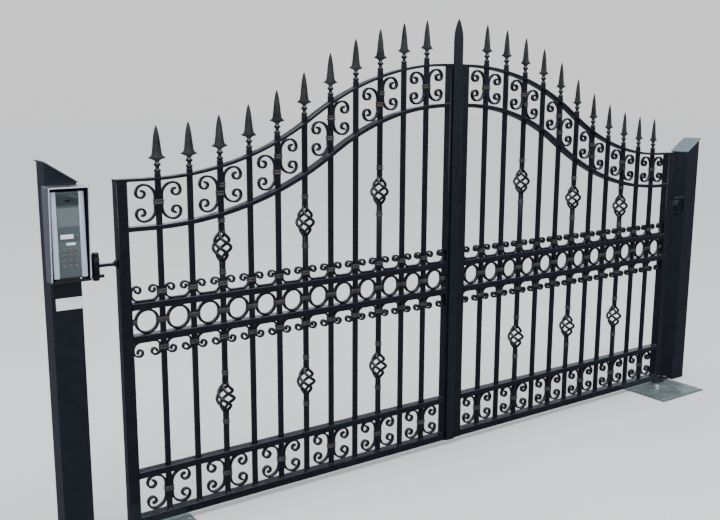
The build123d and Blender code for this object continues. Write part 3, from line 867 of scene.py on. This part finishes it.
def make_leaf(side):
    """The forged pieces of one leaf, each in the place of its plainer node, and the welds."""
    place = leaf_place(side)
    body = side + "_leaf"
    pieces = {
        "top_scrolls": (top_scrolls(), "iron_paint", 35),
        "bottom_scrolls": (bottom_scrolls(), "iron_paint", 35),
        "crest_scrolls": (crest_scrolls(), "iron_paint", 35),
        "rings": (rings(), "iron_paint", 35),
        "bars": (plain_bars(), "iron_paint", 35),
        "basket_bars": (basket_bars(-leaf_sides[side]), "iron_paint", 45),
        "spearheads": (along_bars(spear_blade), "spear_paint", 32),
        "collars": (collars(), "collar_paint", 50),
    }
    for what, (shape, slot, smooth) in pieces.items():
        node = side + "_" + what
        make_piece(node + "_forged", shape, place, body, slot, smooth, [node])
    make_piece(side + "_welds", leaf_welds(), place, body, "iron_paint", 60)
    necks = along_bars(spear_neck)
    make_piece(side + "_spear_necks_forged", necks, place, body, "iron_paint", 40, [side + "_spearheads"])


# Places on the intercom and the left post, from the frame
panel_low, panel_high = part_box("intercom_panel")
hood_low, hood_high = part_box("intercom_hood")
keys_low, keys_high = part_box("intercom_keypad")
camera_low, camera_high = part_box("intercom_camera")
post_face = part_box("left_post")[0].y
panel_seat = keys_high.y
field_front = panel_seat - 0.9 * mm
joint_z = panel_low.z + 117.5 * mm
hood_wall = 3 * mm
hood_lip = hood_low.y + 20 * mm
# Thickness of the dark sheet of painted shade inside the hood
shade_sheet_thickness = 0.8 * mm
foot_front = panel_low.y + 2 * mm
lens_place = (0, camera_low.y + 3 * mm, (camera_low.z + camera_high.z) / 2)

# Blank plates; the one on the post stands in for a label
name_plate_low = joint_z + 8.1 * mm
name_plate_high = name_plate_low + 14 * mm
post_plate_high = hood_low.z - 60.4 * mm
post_plate_low = post_plate_high - 40 * mm
post_plate_right = 47 * mm
post_plate_front = post_face - 1.4 * mm


def fitting(name, shape, slot, smooth=35, replaces=(), material=None):
    """A piece that stands still with the posts."""
    make_piece(name, shape, Matrix.Identity(4), "posts", slot, smooth, replaces, material)


def panel_rails():
    """The half-round rail down each side of the panel."""
    shape = Shape()
    half_width = 9.4 * mm
    rise = 5.6 * mm
    end_share = 0.94
    reach = 0.4 * mm
    ends = [(panel_low.z - reach, end_share), (panel_low.z + reach, 1.0)]
    ends += [(panel_high.z - reach, 1.0), (panel_high.z + reach, end_share)]
    turns = [math.pi * k / 12 for k in range(13)]
    outline = [(half_width * math.cos(a), -rise * math.sin(a) ** 0.7) for a in turns]
    for way in (-1, 1):
        middle = way * (panel_high.x - 7.2 * mm)
        rows = []
        for z, share in ends:
            rows.append([(middle + a * share, panel_seat + b * share, z) for a, b in outline])
        shape.skin(rows)
    return shape


def panel_fields():
    """Two cover sheets between the rails, with the joint between them."""
    shape = Shape()
    half = panel_high.x - 14 * mm
    gap = 0.5 * mm
    depth = (panel_seat, field_front)
    for up in ((panel_low.z + gap, joint_z - gap), (joint_z + gap, panel_high.z - gap)):
        tablet(shape, (-half, half), up, depth, corner=0.8 * mm, chamfer=0.4 * mm)
    return shape


def speaker_louvres():
    """The speaker plate: shallow slanting slats inside a plain border."""
    shape = Shape()
    slats = 12
    border = 4 * mm
    half = 34 * mm
    top = panel_high.z - 52 * mm
    bottom = top - 61 * mm
    front = panel_seat - 2.2 * mm
    tablet(shape, (-half, half), (bottom, top), (panel_seat, front), corner=1.5 * mm)
    pitch = (top - bottom - 2 * border) / slats
    inner = half - border
    sunk = front + 0.2 * mm
    for i in range(slats):
        z = bottom + border + i * pitch
        left = [(-inner, sunk, z), (-inner, front - 0.7 * mm, z + 0.25 * pitch)]
        left += [(-inner, front - 0.15 * mm, z + 0.85 * pitch), (-inner, sunk, z + 0.9 * pitch)]
        shape.skin([left, [(-x, y, h) for x, y, h in left]])
    return shape


def camera_window():
    shape = Shape()
    depth = (panel_seat, lens_place[1])
    tablet(shape, (camera_low.x, camera_high.x), (camera_low.z, camera_high.z), depth, 2.5 * mm, 0.8 * mm)
    return shape


def camera_bezel():
    shape = Shape()
    profile = [(11.0, 0.0), (11.0, 2.2), (10.4, 3.0), (9.2, 3.0), (8.6, 2.4), (8.6, 1.2)]
    turned(shape, profile, lens_place, street, 32)
    return shape


def camera_lens():
    """A small dome lens and four lamps beside it."""
    shape = Shape()
    turned(shape, [(7.8, 1.0), (7.4, 1.9), (5.8, 2.9), (3.2, 3.6), (0.6, 3.8)], lens_place, street, 28)
    for x in (-24 * mm, -18 * mm, 18 * mm, 24 * mm):
        place = (x, lens_place[1], lens_place[2])
        turned(shape, [(1.7, 0.0), (1.7, 0.5), (1.0, 1.0), (0.2, 1.1)], place, street, 12)
    return shape


key_half_width = 5.5 * mm
key_half_height = 6 * mm


def key_places():
    """Middles of the twelve keys, row by row from the top left."""
    columns = [keys_low.x + key_half_width, 0.0, keys_high.x - key_half_width]
    row_pitch = (keys_high.z - keys_low.z - 2 * key_half_height) / 3
    return [(columns[i % 3], keys_high.z - key_half_height - (i // 3) * row_pitch) for i in range(12)]


def key_caps():
    """Twelve caps with softened edges."""
    shape = Shape()
    depth = (panel_seat, keys_low.y)
    for x, z in key_places():
        across = (x - key_half_width, x + key_half_width)
        up = (z - key_half_height, z + key_half_height)
        tablet(shape, across, up, depth, corner=2 * mm, chamfer=1 * mm)
    return shape


def key_digits():
    """Plain digits on the caps; the two outer keys of the last row stay blank."""
    shape = Shape()
    for text, (x, z) in zip("123456789 0 ", key_places()):
        if text == " ":
            continue
        letter = bpy.data.curves.new("digit", "FONT")
        letter.body = text
        letter.size = 9 * mm
        letter.extrude = 0.15 * mm
        letter.align_x, letter.align_y = "CENTER", "CENTER"
        carrier = bpy.data.objects.new("digit", letter)
        mesh = bpy.data.meshes.new_from_object(carrier)
        points = [(x + v.co.x, keys_low.y - v.co.z, z + v.co.y) for v in mesh.vertices]
        shape.add(points, [tuple(face.vertices) for face in mesh.polygons])
        bpy.data.objects.remove(carrier)
        bpy.data.curves.remove(letter)
        bpy.data.meshes.remove(mesh)
    return shape


def blank_plates():
    """The white name plate, the small one under it and the plate on the post, all blank."""
    shape = Shape()
    up = (name_plate_low, name_plate_high)
    tablet(shape, (-27 * mm, 14 * mm), up, (field_front, field_front - 1.2 * mm))
    up = (joint_z - 12.9 * mm, joint_z - 4.9 * mm)
    tablet(shape, (-9.5 * mm, 19.5 * mm), up, (field_front, field_front - 1 * mm))
    up = (post_plate_low, post_plate_high)
    tablet(shape, (-39 * mm, post_plate_right), up, (post_face, post_plate_front), corner=2 * mm)
    return shape


def call_button():
    shape = Shape()
    place = (27 * mm, field_front, (name_plate_low + name_plate_high) / 2)
    rim = [(5.2, 0.0), (5.2, 0.7), (4.6, 1.0), (4.2, 0.8), (3.9, 0.8)]
    turned(shape, rim + [(3.9, 1.8), (3.3, 2.2), (0.3, 2.3)], place, street, 24)
    return shape


def hood_painted_shade():
    """Thin dark sheet over the hood's inner walls: painted shade inside the hood."""
    shape = Shape()
    slope = (hood_lip - hood_low.y) / (hood_high.z - hood_low.z)
    inside = hood_high.x - hood_wall
    low, high = hood_low.z + hood_wall, hood_high.z - hood_wall
    back = post_face - hood_wall - 0.1 * mm

    def front(z):
        return hood_low.y + slope * (hood_high.z - z) + 2.5 * mm

    side = [(back, low), (front(low), low), (front(high), high), (back, high)]
    for way in (-1, 1):
        shape.skin([[(way * x, y, z) for y, z in side] for x in (inside, inside - shade_sheet_thickness)])
    for z, z_in in ((low, low + shade_sheet_thickness), (high, high - shade_sheet_thickness)):
        corners = [(-inside, back), (inside, back), (inside, front(z)), (-inside, front(z))]
        shape.skin([[(x, y, level) for x, y in corners] for level in (z, z_in)])
    wall = [(-inside, low), (inside, low), (inside, high), (-inside, high)]
    shape.skin([[(x, y, z) for x, z in wall] for y in (back, back - shade_sheet_thickness)])
    return shape


def hood_hem():
    """The bright folded edge round the hood's mouth."""
    shape = Shape()
    x = hood_high.x - 2 * mm
    top = hood_high.z - 2 * mm
    foot = hood_low.z + hood_wall / 2
    bend = 5 * mm
    path = [(-x, hood_lip, foot), (-x, hood_low.y, top - bend)]
    turns = [math.radians(22.5 * k) for k in range(1, 5)]
    path += [(-x + bend * (1 - math.cos(a)), hood_low.y, top - bend + bend * math.sin(a)) for a in turns]
    path += [(-px, py, pz) for px, py, pz in path[::-1]]
    rows = []
    for i, place in enumerate(path):
        ahead = Vector(path[min(i + 1, len(path) - 1)]) - Vector(path[max(i - 1, 0)])
        ahead.normalize()
        across = ahead.cross(Vector(street)).normalized()
        outward = across.cross(ahead)
        rows.append(ellipse(Vector(place), 1.9 * mm * across, 1.5 * mm * outward, 10))
    shape.skin(rows)
    return shape


def panel_foot():
    """The dark rubber block that the panel stands on, and the strip along the hood's lip."""
    shape = Shape()
    low = hood_low.z + hood_wall + shade_sheet_thickness
    half = panel_high.x - 2 * mm
    depth = (post_face - hood_wall - 1 * mm, foot_front)
    tablet(shape, (-half, half), (low, panel_low.z - 0.4 * mm), depth, corner=2 * mm, chamfer=1 * mm)
    half = hood_high.x - 0.2 * mm
    depth = (hood_lip + 3 * mm, hood_lip - 1.9 * mm)
    up = (hood_low.z - 0.3 * mm, low + 3 * mm)
    tablet(shape, (-half, half), up, depth, corner=1 * mm, chamfer=0.6 * mm)
    return shape


def small_screws():
    """One in the panel's foot and two in the post's plate."""
    shape = Shape()
    inset = 5 * mm
    button_screw(shape, (31 * mm, foot_front, panel_low.z - 5.4 * mm), 3.2)
    for z in (post_plate_low + inset, post_plate_high - inset):
        button_screw(shape, (post_plate_right - inset, post_plate_front, z), 1.8)
    return shape


def lid_fittings(side):
    """Knob and corner screws of a ground cover."""
    shape = Shape()
    low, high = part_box(side + "_operator_plate")
    inset = 18 * mm
    lid_top = 8 * mm
    lid_depth = 210 * mm
    screw = [(5.0, 0.0), (5.0, 0.5), (4.2, 0.9), (1.8, 0.9), (1.5, 0.3)]
    for x in (low.x + inset, high.x - inset):
        for y in (low.y + inset, low.y + lid_depth - inset):
            turned(shape, screw, (x, y, lid_top), upward, 18)
    knob = [(11.0, 0.0), (11.0, 1.2), (7.0, 2.0), (5.2, 4.0), (5.0, 9.0), (7.0, 11.5), (10.0, 13.5)]
    knob += [(11.0, 16.0), (10.2, 18.2), (7.0, 19.6), (1.0, 20.0)]
    knob_x = hinges[side].x + leaf_sides[side] * 171 * mm
    turned(shape, knob, (knob_x, -115 * mm, lid_top), upward, 24)
    return shape


def hinge_fittings(side):
    """The pin's domed head over the bracket, and a washer and a nut under it."""
    shape = Shape()
    low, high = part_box(side + "_hinge_bracket")
    x, y = hinges[side].x, hinges[side].y
    head = [(11.5, 0.0), (11.5, 2.0), (10.0, 4.2), (6.5, 5.8), (1.0, 6.3)]
    washer = [(12.0, 0.0), (12.0, 1.6), (11.4, 2.0)]
    nut = [(10.5, 2.0), (11.5, 2.8), (11.5, 9.0), (10.2, 9.8), (4.0, 9.8)]
    turned(shape, head, (x, y, high.z), upward, 24)
    turned(shape, washer, (x, y, low.z), downward, 24)
    turned(shape, nut, (x, y, low.z), downward, 6)
    return shape


def bracket_welds(side):
    """Round the hinge bracket, where it meets the post."""
    shape = Shape()
    size = 4 * mm
    way = leaf_sides[side]
    low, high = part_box(side + "_hinge_bracket")
    face = low.x if way > 0 else high.x
    for z, up in ((low.z, -1), (high.z, 1)):
        start, end = (face, low.y + 8 * mm, z), (face, high.y - 2 * mm, z)
        weld_bead(shape, start, end, (way, 0, 0), (0, 0, up), size)
    weld_bead(shape, (face, high.y, low.z), (face, high.y, high.z), (way, 0, 0), (0, 1, 0), size)
    return shape


def fit_intercom():
    camera = ["intercom_camera"]
    keypad = ["intercom_keypad"]
    fitting("panel_rails", panel_rails(), "hood_steel", material=bright_metal)
    fitting("panel_fields", panel_fields(), "panel_aluminium")
    fitting("speaker_louvres", speaker_louvres(), "panel_aluminium", material=speaker_steel())
    fitting("camera_window", camera_window(), "camera_plastic", replaces=camera)
    fitting("camera_bezel", camera_bezel(), "camera_plastic", replaces=camera)
    fitting("camera_lens", camera_lens(), "camera_plastic", replaces=camera, material=lens_glass())
    fitting("key_caps", key_caps(), "key_steel", replaces=keypad)
    fitting("key_digits", key_digits(), "camera_plastic", material=rubber_and_shade)
    fitting("blank_plates", blank_plates(), "panel_aluminium", material=white_plate())
    fitting("call_button", call_button(), "key_steel")
    # The hood's inside gets a dark sheet as painted shade.
    fitting("hood_painted_shade", hood_painted_shade(), "camera_plastic", material=rubber_and_shade)
    fitting("hood_hem", hood_hem(), "hood_steel", material=bright_metal)
    fitting("panel_foot", panel_foot(), "camera_plastic", material=rubber_and_shade)
    fitting("small_screws", small_screws(), "key_steel", material=bright_metal)


def fit_post(side):
    fitting(side + "_lid_fittings", lid_fittings(side), "key_steel", material=bright_metal)
    fitting(side + "_hinge_fittings", hinge_fittings(side), "iron_paint")
    fitting(side + "_bracket_welds", bracket_welds(side), "iron_paint", 60)


def make_camera():
    """The photo's camera, as solved from the gate's straight lines."""
    data = bpy.data.cameras.new("photo_camera")
    data.sensor_width = 36.0
    data.lens = 43.87
    camera = bpy.data.objects.new("photo_camera", data)
    bpy.context.scene.collection.objects.link(camera)
    yaw, pitch, roll = math.radians(35.177), math.radians(-10.303), math.radians(0.229)
    forward = Vector((math.sin(yaw) * math.cos(pitch), math.cos(yaw) * math.cos(pitch), math.sin(pitch)))
    level = Vector((math.cos(yaw), -math.sin(yaw), 0))
    above = level.cross(forward)
    right = math.cos(roll) * level + math.sin(roll) * above
    up = -math.sin(roll) * level + math.cos(roll) * above
    turn = Matrix((right, up, -forward)).transposed()
    camera.matrix_world = Matrix.Translation((-0.833, -2.891, 1.527)) @ turn.to_4x4()
    bpy.context.scene.camera = camera


def area_light(name, place, target, size, power, colour):
    data = bpy.data.lights.new(name, "AREA")
    data.shape = "RECTANGLE"
    data.size, data.size_y = size
    data.energy = power
    data.color = colour
    light = bpy.data.objects.new(name, data)
    bpy.context.scene.collection.objects.link(light)
    light.location = place
    light.rotation_euler = (Vector(target) - Vector(place)).to_track_quat("-Z", "Y").to_euler()


def make_lights():
    """A broad cool light above the street side, and a smaller warm one from the camera's left."""
    cool, warm = (0.93, 0.97, 1.0), (1.0, 0.98, 0.95)
    area_light("overhead_softbox", (1.0, -1.5, 5.5), (1.6, 0, 0.6), (6.0, 4.0), 220.0, cool)
    area_light("left_softbox", (-3.5, -4.5, 3.2), (1.2, 0, 0.8), (2.5, 2.5), 90.0, warm)


def floor_material():
    """Pale matt floor; in the iron's reflections it is as dark as wet paving."""
    material, tree, shader = node_material("studio_floor")
    cloud = noise(tree, add(tree, "TexCoord").outputs["Object"], 0.7)
    pale = ramp(tree, cloud, [(0.3, (0.80, 0.80, 0.80)), (0.7, (0.83, 0.83, 0.825))])
    mirrored = ramp(tree, cloud, [(0.3, (0.055, 0.060, 0.080)), (0.7, (0.075, 0.080, 0.100))])
    pick = add(tree, "Mix")
    pick.data_type = "RGBA"
    put(tree, pick, {0: add(tree, "LightPath").outputs["Is Glossy Ray"], 6: pale, 7: mirrored})
    put(tree, shader, {"Base Color": pick.outputs[2], "Roughness": 0.8})
    return material


def make_floor():
    half = 60.0
    corners = [(-half, -half, 0), (half, -half, 0), (half, half, 0), (-half, half, 0)]
    mesh = bpy.data.meshes.new("studio_floor")
    mesh.from_pydata(corners, [], [(0, 1, 2, 3)])
    floor = bpy.data.objects.new("studio_floor", mesh)
    bpy.context.scene.collection.objects.link(floor)
    mesh.materials.append(floor_material())


def make_sky():
    """An even studio sky, with dark flags that only reflections see."""
    sky = [(0.0, (0.80, 0.80, 0.81)), (0.15, (0.82, 0.83, 0.84)), (0.6, (0.92, 0.94, 0.97))]
    flags = [(0.0, (0.04, 0.05, 0.075)), (0.06, (0.08, 0.10, 0.14)), (0.12, (0.80, 0.87, 0.98))]
    flags += [(0.22, (0.70, 0.77, 0.88)), (0.30, (0.10, 0.12, 0.15)), (0.50, (0.10, 0.12, 0.15))]
    flags += [(0.75, (0.95, 0.97, 1.0))]
    world = bpy.data.worlds.new("studio_sky")
    bpy.context.scene.world = world
    world.use_nodes = True
    tree = world.node_tree
    coords = add(tree, "TexCoord").outputs["Generated"]
    height = add(tree, "SeparateXYZ", {"Vector": coords}).outputs["Z"]
    studio = tree.nodes["Background"]
    put(tree, studio, {"Color": ramp(tree, height, sky), "Strength": 1.25})
    flagged = add(tree, "Background", {"Color": ramp(tree, height, flags), "Strength": 1.8})
    mirrored = add(tree, "LightPath").outputs["Is Glossy Ray"]
    pick = add(tree, "MixShader", {"Fac": mirrored, 1: studio.outputs[0], 2: flagged.outputs[0]})
    put(tree, tree.nodes["World Output"], {"Surface": pick.outputs["Shader"]})


paint_frame()
ease_frame()
for side in leaf_sides:
    make_leaf(side)
fit_intercom()
for side in leaf_sides:
    fit_post(side)
make_camera()
make_floor()
make_sky()
make_lights()
